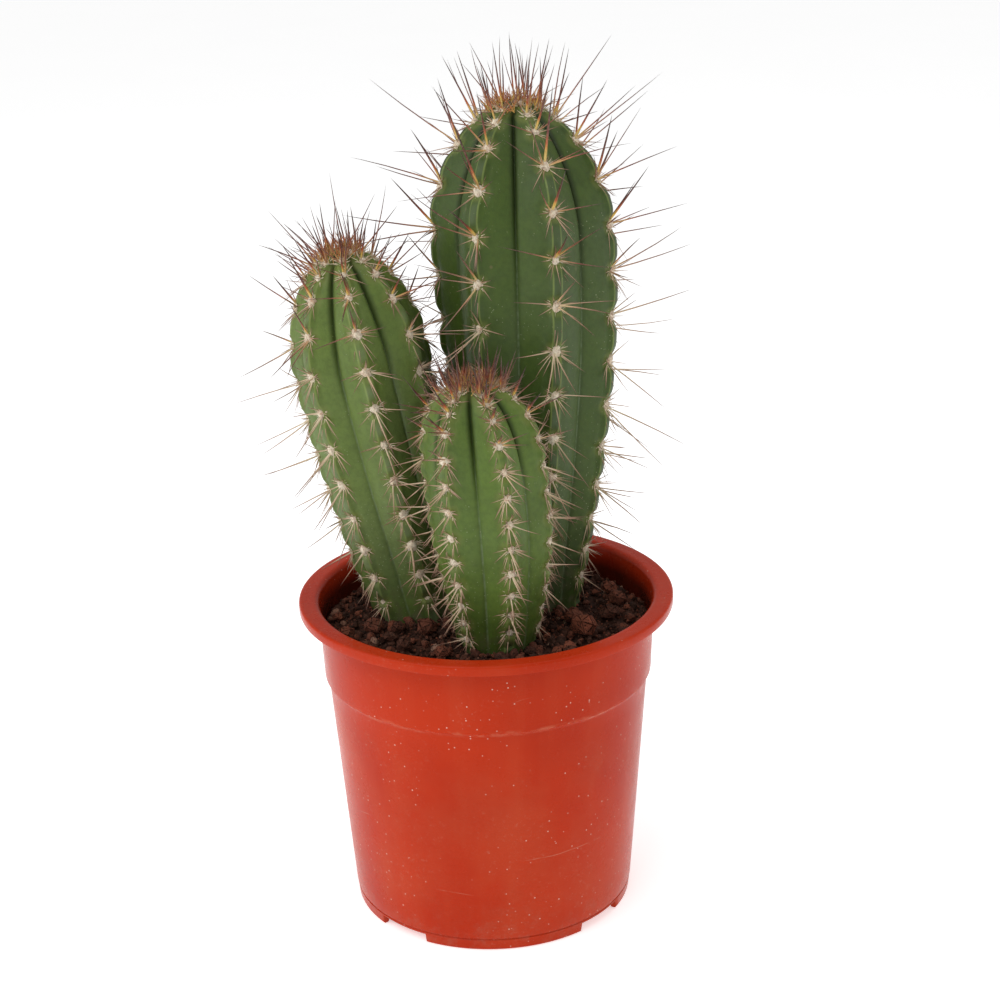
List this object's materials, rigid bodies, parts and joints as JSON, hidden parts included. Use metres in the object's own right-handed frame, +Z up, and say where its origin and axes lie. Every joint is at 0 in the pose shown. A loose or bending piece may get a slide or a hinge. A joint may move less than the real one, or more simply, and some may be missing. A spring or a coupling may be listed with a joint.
{
  "type": "potted columnar cactus",
  "caption": "Cluster of ribbed, spiny columnar cactus stems growing from gritty soil in a tapered plastic nursery pot with a flanged rim.",
  "frame": {"origin": "centre of the pot's underside, on the surface it stands on and on the pot's axis", "axes": "+Z up along the pot's axis; -Y is the front, where the shortest stem stands; +X to the right seen from the front"},
  "size_m": [0.1984, 0.1887, 0.3874],
  "materials": {
    "pot_plastic": "semi-gloss terracotta-red injection-moulded plastic",
    "soil": "matt, damp, gritty",
    "skin_tall": "waxy, deep green",
    "skin_left": "waxy, mid green",
    "skin_front": "waxy, fresh green",
    "lava_red": "rough, porous",
    "lava_dark": "rough, porous",
    "lava_brown": "rough, porous",
    "dry_spine": "dry, matt"
  },
  "bodies": {
    "root": {"pot": "pot_plastic", "potting_soil": "soil", "cactus_stem_tall": "skin_tall", "cactus_stem_left": "skin_left", "cactus_stem_front": "skin_front", "fallen_spine": "dry_spine", "lava_stone_01": "lava_red", "lava_stone_02": "lava_dark", "lava_stone_03": "lava_brown", "lava_stone_04": "lava_red", "lava_stone_05": "lava_dark", "lava_stone_06": "lava_brown", "lava_stone_07": "lava_red", "lava_stone_08": "lava_dark", "lava_stone_09": "lava_brown", "lava_stone_10": "lava_red", "lava_stone_11": "lava_dark", "lava_stone_12": "lava_brown", "lava_stone_13": "lava_red", "lava_stone_14": "lava_dark", "lava_stone_15": "lava_brown", "lava_stone_16": "lava_red", "lava_stone_17": "lava_dark", "lava_stone_18": "lava_brown", "lava_stone_19": "lava_red", "lava_stone_20": "lava_dark", "lava_stone_21": "lava_brown", "lava_stone_22": "lava_red", "lava_stone_23": "lava_dark", "lava_stone_24": "lava_brown"}
  },
  "joints": []
}
